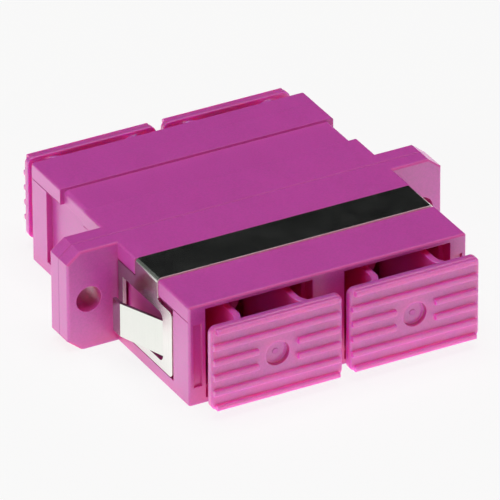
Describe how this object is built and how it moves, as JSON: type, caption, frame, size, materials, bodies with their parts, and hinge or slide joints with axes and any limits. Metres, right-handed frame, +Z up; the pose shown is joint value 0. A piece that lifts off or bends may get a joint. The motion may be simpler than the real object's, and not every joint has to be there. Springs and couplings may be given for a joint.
{
  "type": "duplex fibre optic adapter",
  "caption": "Flanged moulded coupler that joins paired push-pull fibre plugs end to end, with a steel panel clip and ribbed dust caps.",
  "frame": {"origin": "on the underside of the body, at the middle of its width and of the flange's thickness", "axes": "+X to the right seen from the front, along the row of two ports; +Y from the clip end to the rear; +Z up, through the side that the clip crosses"},
  "size_m": [0.0346, 0.0332, 0.0091],
  "materials": {
    "housing_plastic": "fine spark-eroded satin, heather violet",
    "cap_plastic": "soft satin, heather violet",
    "latch_plastic": "satin, heather violet",
    "clip_steel": "bright rolled stainless spring strip",
    "sleeve_ceramic": "polished white zirconia"
  },
  "bodies": {
    "adapter": {"front_housing": "housing_plastic", "rear_housing": "housing_plastic", "panel_clip": "clip_steel", "front_left_latch_frame": "latch_plastic", "front_right_latch_frame": "latch_plastic", "rear_left_latch_frame": "latch_plastic", "rear_right_latch_frame": "latch_plastic", "left_split_sleeve": "sleeve_ceramic", "right_split_sleeve": "sleeve_ceramic"},
    "front_left_cap": {"front_left_dust_cap": "cap_plastic"},
    "front_right_cap": {"front_right_dust_cap": "cap_plastic"},
    "rear_left_cap": {"rear_left_dust_cap": "cap_plastic"},
    "rear_right_cap": {"rear_right_dust_cap": "cap_plastic"}
  },
  "joints": [
    {"name": "front_left_cap_slide", "type": "slide", "parent": "adapter", "child": "front_left_cap", "axis": [0, -1, 0], "range_m": [-0.0018, 0.01]},
    {"name": "front_right_cap_slide", "type": "slide", "parent": "adapter", "child": "front_right_cap", "axis": [0, -1, 0], "range_m": [-0.0018, 0.01]},
    {"name": "rear_left_cap_slide", "type": "slide", "parent": "adapter", "child": "rear_left_cap", "axis": [0, 1, 0], "range_m": [-0.0012, 0.011]},
    {"name": "rear_right_cap_slide", "type": "slide", "parent": "adapter", "child": "rear_right_cap", "axis": [0, 1, 0], "range_m": [-0.0012, 0.011]}
  ]
}
